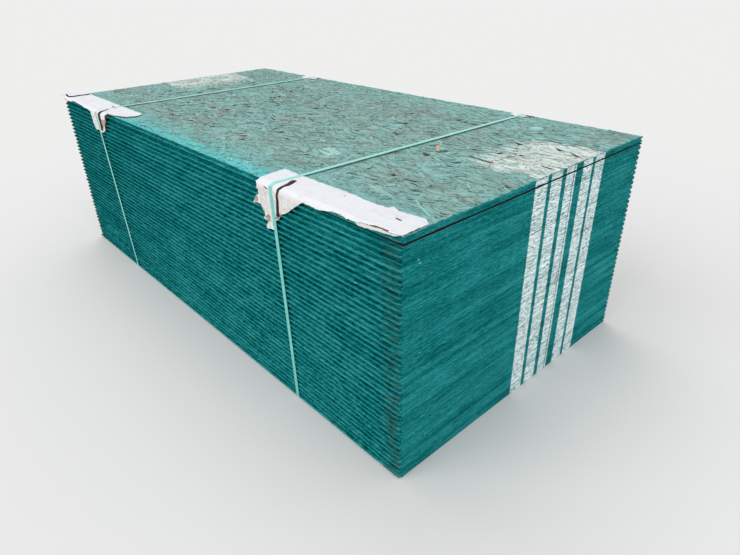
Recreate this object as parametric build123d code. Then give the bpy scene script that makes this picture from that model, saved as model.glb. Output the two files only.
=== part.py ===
from build123d import *
from math import acos, atan2, cos, hypot, sin
import os

# All lengths are millimetres.
# X runs along the panels, Y across them and Z up.
# The tongues face -Y, the grooves +Y, and the square ends face +X and -X.

# Panel: an oriented strand board floor sheet with a milled edge
PANEL_COUNT = 42
PANEL_LENGTH = 2438.0
PANEL_FACE_WIDTH = 1206.5
PANEL_THICKNESS = 18.5

# Tongue, centred in the thickness, with a rounded nose
TONGUE_REACH = 11.0
TONGUE_ROOT = 7.6
TONGUE_TIP = 5.8
TONGUE_NOSE = 1.6
UNDER_SHOULDER_SETBACK = 0.8

# Groove, cut to take the tongue of the next sheet
GROOVE_SIDE_CLEARANCE = 0.4
GROOVE_RUNOUT = 1.5

# How far the sheets are out of line with each other
SIDE_JOG = 1.2
END_JOG = 0.3
JOG_TURN = 2.4

# The top sheet is dished by the weather: its rim stands off the sheet below
RIM_LIFT = 3.5
RIM_SLOPE_LENGTH = 260.0

# Flat plastic strap
STRAP_WIDTH = 16.0
STRAP_THICKNESS = 0.9

# Paper edge board
BOARD_THICKNESS = 2.4
BOARD_LIP = 4.0

# Where each strap crosses the long edges, from the end nearest to it
NEAR_STRAP_FRONT_TOP = 527.0
NEAR_STRAP_FRONT_BOTTOM = 501.0
NEAR_STRAP_BACK = 497.0
FAR_STRAP_FRONT_TOP = 472.0
FAR_STRAP_FRONT_BOTTOM = 535.0
FAR_STRAP_BACK = 525.0

# Outlines of the boards' upper legs: (along X from the strap, in from the arris)
NEAR_FRONT_LEG = [(-76, 0), (-89, 99), (3, 96), (192, 99), (318, 95), (375, 98), (381, 112),
                  (409, 102), (496, 112), (518, 93), (521, 0)]
FAR_FRONT_LEG = [(-474, 0), (-474, 112), (-270, 110), (-62, 108), (234, 107), (255, 96),
                 (262, 70), (242, 35), (170, 8), (112, 0)]
NEAR_BACK_LEG = [(-50, 0), (-44, 38), (-8, 47), (22, 40), (48, 30), (52, 0)]
FAR_BACK_LEG = [(-80, 0), (-66, 50), (-20, 62), (20, 52), (60, 34), (66, 0)]

# The far board's west end curls up beyond the sheets and is folded back over itself.
# Its section: (along X from the strap, height over the stack), and how far in it starts and ends
FAR_FOLD = [(-425, 1), (-470, 1), (-519, 7), (-521, 9.5), (-501, 14), (-453, 11), (-425, 7.5)]
FAR_FOLD_START = 4.0
FAR_FOLD_END = 110.0

# Outlines of the torn flaps that hang over the edge: (along X from the strap, drop)
NEAR_FRONT_FLAP = [(161, 0), (149, 14), (109, 42), (73, 64), (41, 82), (25, 101), (5, 108),
                   (3, 141), (-47, 140), (-37, 112), (-57, 112), (-49, 94), (-60, 85), (-68, 70),
                   (-89, 74), (-107, 73), (-81, 46), (-69, 27), (-82, 22), (-76, 0)]
FAR_FRONT_FLAP = [(112, 0), (110, 16), (106, 34), (82, 52), (78, 73), (45, 91), (12, 95),
                  (-9, 88), (-54, 91), (-66, 64), (-69, 25), (-69, 0)]
NEAR_BACK_FLAP = [(52, 0), (47, 55), (12, 74), (-30, 66), (-50, 0)]
FAR_BACK_FLAP = [(66, 0), (58, 60), (2, 82), (-52, 70), (-80, 0)]

# Heights and reaches that follow from the sizes above
STACK_TOP = PANEL_COUNT * PANEL_THICKNESS + RIM_LIFT
TOP_LAYER = PANEL_COUNT - 1


def side_jog(layer):
    """Shift of a layer along Y. The lowest sheet is the furthest out at its tongue."""
    return -SIDE_JOG * cos(JOG_TURN * layer)


def end_jog(layer):
    """Shift of a layer along X."""
    return END_JOG * sin(JOG_TURN * layer)


LAYERS = range(PANEL_COUNT)
FRONT_REACH = max(PANEL_FACE_WIDTH / 2 + TONGUE_REACH - side_jog(n) for n in LAYERS)
BACK_REACH = max(PANEL_FACE_WIDTH / 2 + side_jog(n) for n in LAYERS)
FRONT_ARRIS = -PANEL_FACE_WIDTH / 2 + side_jog(TOP_LAYER)


def panel_profile():
    """Section of one sheet across its length, from its underside at height 0."""
    half = PANEL_FACE_WIDTH / 2
    middle = PANEL_THICKNESS / 2
    mouth = TONGUE_ROOT + 2 * GROOVE_SIDE_CLEARANCE
    floor = TONGUE_TIP + 2 * GROOVE_SIDE_CLEARANCE
    depth = TONGUE_REACH + GROOVE_RUNOUT
    outline = Polyline(
        (-half + UNDER_SHOULDER_SETBACK, 0),
        (half, 0),
        (half, middle - mouth / 2),
        (half - depth, middle - floor / 2),
        (half - depth, middle + floor / 2),
        (half, middle + mouth / 2),
        (half, PANEL_THICKNESS),
        (-half, PANEL_THICKNESS),
        (-half, middle + TONGUE_ROOT / 2),
        (-half - TONGUE_REACH, middle + TONGUE_TIP / 2),
        (-half - TONGUE_REACH, middle - TONGUE_TIP / 2),
        (-half + UNDER_SHOULDER_SETBACK, middle - TONGUE_ROOT / 2),
        close=True,
    )
    face = make_face(outline)
    nose = [v for v in face.vertices() if v.X < -half - TONGUE_REACH + TONGUE_NOSE / 2]
    return fillet(nose, TONGUE_NOSE)


def flat_panel():
    """One sheet, its length centred on the origin and its underside at height 0."""
    section = Plane.YZ.offset(-PANEL_LENGTH / 2) * panel_profile()
    return extrude(section, PANEL_LENGTH, dir=(1, 0, 0))


def corners(front, inset, height):
    """Corners of the sheet's outline, set in on every side, with its front edge at front."""
    x = PANEL_LENGTH / 2 - inset
    low_y = front + inset
    high_y = PANEL_FACE_WIDTH / 2 - inset
    return [(-x, low_y, height), (x, low_y, height), (x, high_y, height), (-x, high_y, height)]


def shallow_basin(front, bottom):
    """Flat-bottomed basin, RIM_LIFT deep, that opens to the sheet's own outline."""
    low = corners(front, RIM_SLOPE_LENGTH, bottom)
    high = corners(front, 0.0, bottom + RIM_LIFT)
    outlines = [low, high]
    for n in range(4):
        m = (n + 1) % 4
        outlines.append([low[n], low[m], high[m], high[n]])
    return Solid(Shell([make_face(Polyline(*points, close=True)).face() for points in outlines]))


def dished_panel():
    """The top sheet: its middle lies on the stack and its rim stands up by RIM_LIFT."""
    front = -PANEL_FACE_WIDTH / 2
    rim = Pos(0, 0, RIM_LIFT) * flat_panel()
    belly = shallow_basin(front + UNDER_SHOULDER_SETBACK, 0.0)
    return rim + belly - shallow_basin(front, PANEL_THICKNESS)


def make_panels():
    """Every sheet of the stack, from the ground up."""
    sheets = []
    plain = flat_panel()
    for layer in LAYERS:
        sheet = dished_panel() if layer == TOP_LAYER else plain
        place = Pos(end_jog(layer), side_jog(layer), layer * PANEL_THICKNESS)
        sheets.append(place * sheet)
    return sheets


# A strap runs round the stack like a belt round pulleys.
# A pulley is (y, z, radius): a corner of the stack, and how far the strap keeps from it.

def nose_offset(flank_length):
    """How far the nose's centre lies from the middle of the tongue, by the flank's slope."""
    slope = (TONGUE_ROOT - TONGUE_TIP) / 2 / flank_length
    return TONGUE_TIP / 2 + TONGUE_NOSE * (slope - hypot(1, slope))


NOSE_Y = -FRONT_REACH + TONGUE_NOSE
TOP_NOSE_HEIGHT = STACK_TOP - PANEL_THICKNESS / 2 + nose_offset(TONGUE_REACH)
LOW_NOSE_HEIGHT = PANEL_THICKNESS / 2 - nose_offset(TONGUE_REACH + UNDER_SHOULDER_SETBACK)
FRONT_FOOT = -PANEL_FACE_WIDTH / 2 + UNDER_SHOULDER_SETBACK + side_jog(0)

PULLEYS = [
    (FRONT_ARRIS, STACK_TOP, BOARD_THICKNESS),
    (NOSE_Y, TOP_NOSE_HEIGHT, TONGUE_NOSE + BOARD_THICKNESS),
    (NOSE_Y, LOW_NOSE_HEIGHT, TONGUE_NOSE),
    (FRONT_FOOT, 0.0, 0.0),
    (BACK_REACH, 0.0, 0.0),
    (BACK_REACH, STACK_TOP, BOARD_THICKNESS),
]


def outward_normal(start, end):
    """Unit normal, away from the stack, of the belt's straight run between two pulleys."""
    dy = end[0] - start[0]
    dz = end[1] - start[1]
    turn = atan2(dz, dy) - acos((start[2] - end[2]) / hypot(dy, dz))
    return Vector(0, cos(turn), sin(turn))


def touch(pulley, normal, extra=0.0):
    """Point of the belt's inner face, or that far outside it, where a run meets a pulley."""
    return Vector(0, pulley[0], pulley[1]) + normal * (pulley[2] + extra)


def bend(pulley, before, after, x):
    """The strap's bend over one corner, between the normals of the runs that it joins."""
    middle = (before + after).normalized()
    centre = Vector(0, pulley[0], pulley[1])
    inside = pulley[2]
    outside = inside + STRAP_THICKNESS
    outer = ThreePointArc(centre + before * outside, centre + middle * outside, centre + after * outside)
    if inside > 0:
        inner = ThreePointArc(centre + before * inside, centre + middle * inside, centre + after * inside)
        sides = [Line(inner @ 0, outer @ 0), Line(inner @ 1, outer @ 1)]
        section = make_face([inner, outer] + sides)
    else:
        section = make_face([outer, Line(centre, outer @ 0), Line(centre, outer @ 1)])
    return extrude(Pos(x - STRAP_WIDTH / 2, 0, 0) * section, STRAP_WIDTH, dir=(1, 0, 0))


def run(start, end, normal, x_start, x_end):
    """A straight stretch of strap, which may drift along X on its way."""
    half = Vector(STRAP_WIDTH / 2, 0, 0)
    a = touch(start, normal) + Vector(x_start, 0, 0)
    b = touch(end, normal) + Vector(x_end, 0, 0)
    under = make_face(Polyline(a - half, a + half, b + half, b - half, close=True))
    return extrude(under, STRAP_THICKNESS, dir=normal)


def make_strap(xs):
    """A closed strap. xs holds its place along X at each pulley."""
    count = len(PULLEYS)
    normals = []
    for n in range(count):
        normals.append(outward_normal(PULLEYS[n], PULLEYS[(n + 1) % count]))
    pieces = []
    for n in range(count):
        after = (n + 1) % count
        pieces.append(run(PULLEYS[n], PULLEYS[after], normals[n], xs[n], xs[after]))
        pieces.append(bend(PULLEYS[n], normals[n - 1], normals[n], xs[n]))
    strap = pieces[0]
    for piece in pieces[1:]:
        strap = strap + piece
    return strap


def line_at_height(point, normal, height):
    """Point at that height on the straight line through point, square to normal."""
    along = (point.Z - height) * normal.Z / normal.Y
    return Vector(0, point.Y + along, height)


def front_board_section(leg, drop):
    """Folded board over the front arris, its outer face against the strap."""
    arris, nose, low_nose = PULLEYS[0], PULLEYS[1], PULLEYS[2]
    slope = outward_normal((arris[0], arris[1], 0), (nose[0], nose[1], TONGUE_NOSE))
    slant = outward_normal(arris, nose)
    front = outward_normal(nose, low_nose)
    up = Vector(0, 0, 1)
    ahead = Vector(0, -1, 0)
    corner = Vector(0, arris[0], arris[1])
    hub = Vector(0, nose[0], nose[1])
    inner_end = corner + Vector(0, leg, 0)
    bottom = STACK_TOP - drop
    inner = [
        Line(inner_end, corner),
        Line(corner, hub + slope * TONGUE_NOSE),
        ThreePointArc(
            hub + slope * TONGUE_NOSE,
            hub + (slope + ahead).normalized() * TONGUE_NOSE,
            hub + ahead * TONGUE_NOSE,
        ),
        Line(hub + ahead * TONGUE_NOSE, Vector(0, -FRONT_REACH, bottom)),
    ]
    skin = TONGUE_NOSE + BOARD_THICKNESS
    front_end = line_at_height(hub + front * skin, front, bottom)
    outer = [
        Line(inner_end + up * BOARD_THICKNESS, corner + up * BOARD_THICKNESS),
        ThreePointArc(
            corner + up * BOARD_THICKNESS,
            corner + (up + slant).normalized() * BOARD_THICKNESS,
            corner + slant * BOARD_THICKNESS,
        ),
        Line(corner + slant * BOARD_THICKNESS, hub + slant * skin),
        ThreePointArc(
            hub + slant * skin,
            hub + (slant + front).normalized() * skin,
            hub + front * skin,
        ),
        Line(hub + front * skin, front_end),
    ]
    ends = [
        Line(inner_end, inner_end + up * BOARD_THICKNESS),
        Line(Vector(0, -FRONT_REACH, bottom), front_end),
    ]
    return make_face(inner + outer + ends)


def back_board_section(leg, drop):
    """Folded board over the back arris, its outer face against the strap."""
    foot, top = PULLEYS[4], PULLEYS[5]
    behind = outward_normal(foot, top)
    up = Vector(0, 0, 1)
    corner = Vector(0, top[0], top[1])
    inner_end = corner - Vector(0, leg, 0)
    bottom = STACK_TOP - drop
    back_end = line_at_height(corner + behind * BOARD_THICKNESS, behind, bottom)
    edges = [
        Line(inner_end, corner),
        Line(corner, Vector(0, BACK_REACH, bottom)),
        Line(Vector(0, BACK_REACH, bottom), back_end),
        Line(back_end, corner + behind * BOARD_THICKNESS),
        ThreePointArc(
            corner + behind * BOARD_THICKNESS,
            corner + (behind + up).normalized() * BOARD_THICKNESS,
            corner + up * BOARD_THICKNESS,
        ),
        Line(corner + up * BOARD_THICKNESS, inner_end + up * BOARD_THICKNESS),
        Line(inner_end + up * BOARD_THICKNESS, inner_end),
    ]
    return make_face(edges)


def make_board(strap_x, leg, flap, front):
    """An edge board, folded over an arris and torn to its outline.

    leg and flap are its outlines above and in front of the arris. Between the flap and
    the ends of the leg the fold keeps a short lip below the arris.
    """
    reach = max(y for _, y in leg)
    drop = max(d for _, d in flap)
    west = strap_x + min(x for x, _ in leg + flap)
    east = strap_x + max(x for x, _ in leg + flap)
    section = front_board_section(reach, drop) if front else back_board_section(reach, drop)
    strip = extrude(Pos(west, 0, 0) * section, east - west, dir=(1, 0, 0))
    arris = FRONT_ARRIS if front else BACK_REACH
    inward = 1 if front else -1
    outer_end = -FRONT_REACH - 2 * BOARD_THICKNESS if front else BACK_REACH + 2 * BOARD_THICKNESS
    above = [(strap_x + x, arris + inward * y) for x, y in leg]
    top_cutter = extrude(
        Pos(0, 0, STACK_TOP - BOARD_THICKNESS) * make_face(Polyline(*above, close=True)),
        3 * BOARD_THICKNESS,
    )
    crest = STACK_TOP + 2 * BOARD_THICKNESS
    first_x, last_x = leg[0][0], leg[-1][0]
    hanging = [(strap_x + x, STACK_TOP - max(d, BOARD_LIP)) for x, d in flap]
    rim = [
        (strap_x + first_x, STACK_TOP - BOARD_LIP),
        (strap_x + first_x, crest),
        (strap_x + last_x, crest),
        (strap_x + last_x, STACK_TOP - BOARD_LIP),
    ]
    points = []
    for x, z in hanging + rim:
        if (x, z) not in points:
            points.append((x, z))
    section_plane = make_face(Polyline(*[(x, arris, z) for x, z in points], close=True))
    front_cutter = extrude(section_plane, abs(outer_end - arris), dir=(0, -inward, 0))
    return strip & (top_cutter + front_cutter)


def folded_end(strap_x, section):
    """The doubled end of a board: its section along X, carried inwards from beside the arris."""
    y = FRONT_ARRIS + FAR_FOLD_START
    outline = Polyline(*[(strap_x + x, y, STACK_TOP + z) for x, z in section], close=True)
    return extrude(make_face(outline), FAR_FOLD_END - FAR_FOLD_START, dir=(0, 1, 0))


def strap_places(edge, front_top, front_bottom, back):
    """Place of a strap along X at each pulley. edge is +1 for the near end, -1 for the far."""
    end = edge * PANEL_LENGTH / 2
    top = end - edge * front_top
    bottom = end - edge * front_bottom
    rear = end - edge * back
    return [top, top, bottom, bottom, rear, rear]


near = strap_places(1, NEAR_STRAP_FRONT_TOP, NEAR_STRAP_FRONT_BOTTOM, NEAR_STRAP_BACK)
far = strap_places(-1, FAR_STRAP_FRONT_TOP, FAR_STRAP_FRONT_BOTTOM, FAR_STRAP_BACK)

nodes = {}
for layer, sheet in enumerate(make_panels()):
    nodes[f"panel_{layer + 1:02d}"] = sheet
nodes["strap_near"] = make_strap(near)
nodes["strap_far"] = make_strap(far)
nodes["edge_board_front_near"] = make_board(near[0], NEAR_FRONT_LEG, NEAR_FRONT_FLAP, True)
far_board = make_board(far[0], FAR_FRONT_LEG, FAR_FRONT_FLAP, True)
nodes["edge_board_front_far"] = far_board + folded_end(far[0], FAR_FOLD)
nodes["edge_board_back_near"] = make_board(near[-1], NEAR_BACK_LEG, NEAR_BACK_FLAP, False)
nodes["edge_board_back_far"] = make_board(far[-1], FAR_BACK_LEG, FAR_BACK_FLAP, False)

# The origin is under the middle of the whole stack's box
boxes = [shape.bounding_box(optimal=True) for shape in nodes.values()]
middle_x = (min(b.min.X for b in boxes) + max(b.max.X for b in boxes)) / 2
middle_y = (min(b.min.Y for b in boxes) + max(b.max.Y for b in boxes)) / 2
lowest = min(b.min.Z for b in boxes)
to_origin = Pos(-middle_x, -middle_y, -lowest)

os.makedirs("parts", exist_ok=True)
for name, shape in nodes.items():
    export_step(to_origin * shape, f"parts/{name}.step")
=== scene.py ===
import math

import bpy
import numpy as np
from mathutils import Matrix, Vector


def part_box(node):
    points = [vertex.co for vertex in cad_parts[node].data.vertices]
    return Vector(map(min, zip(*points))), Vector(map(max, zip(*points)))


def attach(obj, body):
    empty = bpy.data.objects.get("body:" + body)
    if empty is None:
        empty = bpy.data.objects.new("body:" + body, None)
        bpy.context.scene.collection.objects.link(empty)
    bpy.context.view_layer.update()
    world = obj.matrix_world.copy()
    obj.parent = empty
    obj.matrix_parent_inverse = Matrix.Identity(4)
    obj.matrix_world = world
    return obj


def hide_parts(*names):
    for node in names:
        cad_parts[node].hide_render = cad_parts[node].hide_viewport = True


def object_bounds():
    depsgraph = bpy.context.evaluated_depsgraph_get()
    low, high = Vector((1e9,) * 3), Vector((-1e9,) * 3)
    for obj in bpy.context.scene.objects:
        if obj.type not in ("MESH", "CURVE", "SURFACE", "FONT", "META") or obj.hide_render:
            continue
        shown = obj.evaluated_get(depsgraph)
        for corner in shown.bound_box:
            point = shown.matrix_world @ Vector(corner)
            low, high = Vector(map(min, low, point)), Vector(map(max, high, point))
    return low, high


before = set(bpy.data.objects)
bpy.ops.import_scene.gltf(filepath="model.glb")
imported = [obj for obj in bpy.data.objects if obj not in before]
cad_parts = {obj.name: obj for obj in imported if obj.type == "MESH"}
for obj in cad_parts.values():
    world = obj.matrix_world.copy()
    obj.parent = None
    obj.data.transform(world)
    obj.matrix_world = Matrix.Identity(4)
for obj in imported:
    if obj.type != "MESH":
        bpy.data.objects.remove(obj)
cad_low, cad_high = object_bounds()

# Lengths are millimetres in the stack's own frame: X along the sheets, -Y the tongue side, Z up.
# Its origin is under the middle of the lowest sheet's face.
MM = 0.001
SHEET_COUNT = 42
SHEET_LENGTH = 2438.0
FACE_WIDTH = 1206.5
SHEET_THICKNESS = 18.5
TONGUE_REACH = 11.0
TONGUE_ROOT = 7.6
TONGUE_TIP = 5.8
NOSE_RADIUS = 1.6
LOWER_SETBACK = 0.8
GROOVE_MOUTH = 8.4
GROOVE_FLOOR = 6.6
GROOVE_DEPTH = 12.5
GROOVE_LIP_HEIGHT = 0.3
GROOVE_LIP_DEPTH = 0.4
ROOT_STEP = 0.5
SIDE_JOG = 1.2
END_JOG = 0.3
JOG_TURN = 2.4
RIM_LIFT = 3.5
RIM_SLOPE_LENGTH = 260.0
ARRIS_ROUND = 0.5
HALF_LENGTH = SHEET_LENGTH / 2
HALF_WIDTH = FACE_WIDTH / 2
MID = SHEET_THICKNESS / 2
TOP_LAYER = SHEET_COUNT - 1
TOP_BASE = TOP_LAYER * SHEET_THICKNESS
RIM_TOP = TOP_BASE + SHEET_THICKNESS + RIM_LIFT
TONGUE_SLOPE = (TONGUE_ROOT - TONGUE_TIP) / 2 / TONGUE_REACH
NOSE_UP = TONGUE_TIP / 2 + NOSE_RADIUS * (TONGUE_SLOPE - math.hypot(1, TONGUE_SLOPE))

# Wear of the sheets: end arrises, chips, and the waves in the seams and in the sides
END_CHAMFER = 0.45
CHIP_DEPTH = 2.0
CHIP_LENGTH = 15
CHIP_HEIGHT = 3.0
SEAM_WAVE = 0.3
SEAM_WAVE_LENGTH = 150
SIDE_WAVE = 0.35
SIDE_WAVE_LENGTH = 210

# A sheet's rings by distance from its ends, and the top's swells as height, length, width and seed
END_STEPS = [0, END_CHAMFER, 3, 7, 12, 18, 25, 33, 42, 54, 68, 84, 102]
TOP_SWELLS = [(0.45, 85, 60, 31), (0.3, 34, 21, 32)]

# Strands on the top: how many, thickness of a curled one, reach into the sheet, distance inside the rim
FLAT_COUNT = 5000
LIFTED_COUNT = 1500
CURLED_THICKNESS = 0.75
FLAT_ROOT = 0.4
RIM_INSET = 0.6

# Edge boards: grid, hold and buckles beside the strap, start of free hanging, and runs of their paths
BOARD_CELL = 3.5
STRAP_GRIP = 13
BUCKLE_START = 15
BUCKLE_REACH = 95
HANGING_FROM = 15
FRONT_PATH_IN = 140
FRONT_PATH_DOWN = 175
BACK_PATH_IN = 90
BACK_PATH_DOWN = 120

lowest_low, lowest_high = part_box("panel_01")
ORIGIN = np.array([
    (lowest_low.x + lowest_high.x) / 2,
    lowest_high.y - (HALF_WIDTH - SIDE_JOG) * MM,
    lowest_low.z,
])


# Smooth noise

def lattice(ix, iy, seed):
    """Whole-number hash of a lattice point to a value from 0 to 1."""
    h = (ix.astype(np.int64) * 374761393 + iy.astype(np.int64) * 668265263 + seed * 974634777) & 0xFFFFFFFF
    h = ((h ^ (h >> 13)) * 1274126177) & 0xFFFFFFFF
    h = h ^ (h >> 16)
    return h / 4294967295.0


def noise(x, y, seed):
    """Value noise from -1 to 1: lattice values joined by the smooth step 3t^2 - 2t^3."""
    ix, iy = np.floor(x), np.floor(y)
    fx, fy = [t * t * (3 - 2 * t) for t in (x - ix, y - iy)]
    low, high = [
        lattice(ix, row, seed) * (1 - fx) + lattice(ix + 1, row, seed) * fx for row in (iy, iy + 1)
    ]
    return 2 * (low * (1 - fy) + high * fy) - 1


def rough_noise(x, y, seed):
    """Three octaves of noise, each half as strong and half as long as the one before."""
    octaves = [noise(k * x, k * y, seed + n) / k for n, k in enumerate((1, 2, 4))]
    return sum(octaves) / 1.75


# Meshes

def make_piece(name, points, faces, materials, face_material, uv=None, values=None):
    """Mesh object from points in millimetres of the stack's frame, kept inside the solid model's box.

    uv and values go with the points.
    """
    mesh = bpy.data.meshes.new(name)
    place = np.clip(points * MM + ORIGIN, np.array(cad_low), np.array(cad_high))
    mesh.from_pydata(place.tolist(), [], faces)
    for material in materials:
        mesh.materials.append(material)
    mesh.polygons.foreach_set("material_index", np.asarray(face_material, np.int32))
    if uv is not None:
        loop_points = np.zeros(len(mesh.loops), np.int32)
        mesh.loops.foreach_get("vertex_index", loop_points)
        layer = mesh.uv_layers.new(name="along_grain")
        layer.data.foreach_set("uv", uv[loop_points].astype(np.float32).ravel())
    for key, data in (values or {}).items():
        mesh.attributes.new(key, "FLOAT", "POINT").data.foreach_set("value", data.astype(np.float32))
    mesh.update()
    piece = bpy.data.objects.new(name, mesh)
    bpy.context.scene.collection.objects.link(piece)
    return piece


# Sheets

def side_jog(layer):
    """Shift of a layer along Y, as in the solid model."""
    return -SIDE_JOG * math.cos(JOG_TURN * layer)


def end_jog(layer):
    """Shift of a layer along X, as in the solid model."""
    return END_JOG * math.sin(JOG_TURN * layer)


def sheet_section(across_top, across_bottom):
    """Section of a sheet, anticlockwise seen from +X, with its underside at 0.

    Returns y, z, wear and kind. wear is how readily a point chips: 1 on arrises and nose.
    kind is 0 where the stretch after the point is sealed edge and 1 where it is raw face.
    """
    root = TONGUE_ROOT / 2
    lower = -HALF_WIDTH + LOWER_SETBACK
    r = ARRIS_ROUND
    groove = [
        (HALF_WIDTH, GROOVE_MOUTH / 2 + GROOVE_LIP_HEIGHT, 0.5),
        (HALF_WIDTH - GROOVE_LIP_DEPTH, GROOVE_MOUTH / 2, 0.3),
        (HALF_WIDTH - GROOVE_DEPTH, GROOVE_FLOOR / 2, 0),
    ]
    middle = 0.45 * TONGUE_REACH
    tongue = [(-HALF_WIDTH - middle, root - middle * TONGUE_SLOPE, 0.2)]
    nose_y = -HALF_WIDTH - TONGUE_REACH + NOSE_RADIUS
    for a in np.radians([8, 35, 62, 88]):
        tongue.append((nose_y - NOSE_RADIUS * math.sin(a), NOSE_UP + NOSE_RADIUS * math.cos(a), 0.9))

    points = [(y, 0.0, 0.3, 1) for y in np.linspace(lower + r, HALF_WIDTH - r, across_bottom)]
    points[0] = (lower + r, 0.0, 0.8, 1)
    points[-1] = (HALF_WIDTH - r, 0.0, 0.8, 0)
    points.append((HALF_WIDTH, r, 0.8, 0))
    points += [(y, MID - up, wear, 0) for y, up, wear in groove]
    points += [(y, MID + up, wear, 0) for y, up, wear in groove[::-1]]
    points.append((HALF_WIDTH, SHEET_THICKNESS - r, 0.8, 0))
    points += [(y, SHEET_THICKNESS, 0.3, 1) for y in np.linspace(HALF_WIDTH - r, -HALF_WIDTH + r, across_top)]
    points[-1] = (-HALF_WIDTH + r, SHEET_THICKNESS, 1.0, 0)
    points += [
        (-HALF_WIDTH, SHEET_THICKNESS - r, 1.0, 0),
        (-HALF_WIDTH, MID + root + ROOT_STEP, 0, 0),
        (-HALF_WIDTH - ROOT_STEP, MID + root, 0, 0),
    ]
    points += [(y, MID + up, wear, 0) for y, up, wear in tongue]
    points += [(y, MID - up, wear, 0) for y, up, wear in tongue[::-1]]
    points += [
        (lower - ROOT_STEP, MID - root, 0, 0),
        (lower, MID - root - ROOT_STEP, 0, 0),
        (lower, r, 0.8, 0),
    ]
    y, z, wear, kind = np.array(points).T
    return y, z, wear, kind.astype(int)


def ring_inward(y, z):
    """Unit directions into a closed anticlockwise section: the mean of its two edges' left normals."""
    along = np.array([np.roll(y, -1) - y, np.roll(z, -1) - z])
    left = np.array([-along[1], along[0]]) / np.hypot(*along)
    inward = left + np.roll(left, 1, 1)
    return inward / np.maximum(np.hypot(*inward), 1e-6)


def sheet_stations(layer, spacing):
    """Places of the rings along X: jittered steps, closer together near the ends."""
    rng = np.random.default_rng(500 + layer)
    near_end = HALF_LENGTH - np.array(END_STEPS)
    inner = np.arange(-HALF_LENGTH + 118, HALF_LENGTH - 110, spacing)
    inner = inner + rng.uniform(-0.3, 0.3, len(inner)) * spacing
    return np.concatenate([-near_end, inner, near_end[::-1]])


def dish(x, y):
    """Height of the top sheet's rim above its middle: full at the outline, none 260 mm inside it."""
    inside = np.minimum(HALF_LENGTH - np.abs(x), HALF_WIDTH - np.abs(y))
    return RIM_LIFT * (1 - np.clip(inside / RIM_SLOPE_LENGTH, 0, 1))


def top_relief(x, y):
    """Gentle swelling of the weathered top face, in millimetres."""
    return sum(height * noise(x / length, y / width, seed) for height, length, width, seed in TOP_SWELLS)


def make_sheet(layer, materials, spacing=16.0, across_top=2, across_bottom=2):
    """One sheet: its section carried along X.

    Each ring is moved by slow waves along the sheet, by chips that bite into arrises and
    the tongue's nose, and by wear that eats the tongue back towards both ends.
    """
    y0, z0, wear, kind = sheet_section(across_top, across_bottom)
    in_y, in_z = ring_inward(y0, z0)
    x = sheet_stations(layer, spacing)[:, None]

    def seam(number):
        """Wave of the seam below a layer; the seams of the ground and of the top sheet are straight."""
        if not 0 < number < TOP_LAYER:
            return 0.0
        return SEAM_WAVE * noise(x / SEAM_WAVE_LENGTH, 3.7 * number, 5)

    share = z0 / SHEET_THICKNESS
    y = y0 + SIDE_WAVE * noise(x / SIDE_WAVE_LENGTH, 2.3 * layer, 6) * np.where(y0 < 0, 1.0, -0.6)
    z = z0 + seam(layer) * (1 - share) + seam(layer + 1) * share
    x, y, z = np.broadcast_arrays(x, y, z)
    band = np.round(z0 / CHIP_HEIGHT)
    bite = np.clip(noise(x / CHIP_LENGTH, band + 9.1 * layer, 7) - 0.45, 0, 1) * CHIP_DEPTH * wear
    to_end = HALF_LENGTH - np.abs(x)
    rng = np.random.default_rng(900 + layer)
    eaten = np.where(x > 0, rng.uniform(0.5, 5.5), rng.uniform(0.5, 4.5))
    worn = np.clip((-HALF_WIDTH - y) / TONGUE_REACH, 0, 1) * np.exp(-to_end / rng.uniform(5, 22))
    y = y + in_y * bite + worn * eaten
    z = z + in_z * bite * 0.7 + worn * 0.8 * noise(x / 8, band + layer, 8)
    y[[0, -1]] += in_y * END_CHAMFER
    z[[0, -1]] += in_z * END_CHAMFER
    if layer == TOP_LAYER:
        upper = (z0 >= SHEET_THICKNESS - 0.01) & (to_end > 5) & (np.abs(y0) < HALF_WIDTH - 5)
        z = z + dish(x, np.clip(y, -HALF_WIDTH, HALF_WIDTH)) + np.where(upper, top_relief(x, y), 0)
    place = [x + end_jog(layer), y + side_jog(layer), z + layer * SHEET_THICKNESS]

    rings, around = x.shape
    i = np.arange(rings - 1)[:, None] * around
    j = np.arange(around)
    k = (j + 1) % around
    faces = np.stack([i + j, i + k, i + around + k, i + around + j], -1).reshape(-1, 4).tolist()
    faces += [j[::-1].tolist(), (j + (rings - 1) * around).tolist()]
    face_material = np.concatenate([np.tile(kind, rings - 1), [0, 0]])
    points = np.stack(place, -1).reshape(-1, 3)
    piece = make_piece(f"sheet_{layer + 1:02d}", points, faces, materials, face_material)
    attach(piece, "root")
    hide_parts(f"panel_{layer + 1:02d}")


# Strands of the weathered top face

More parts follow.
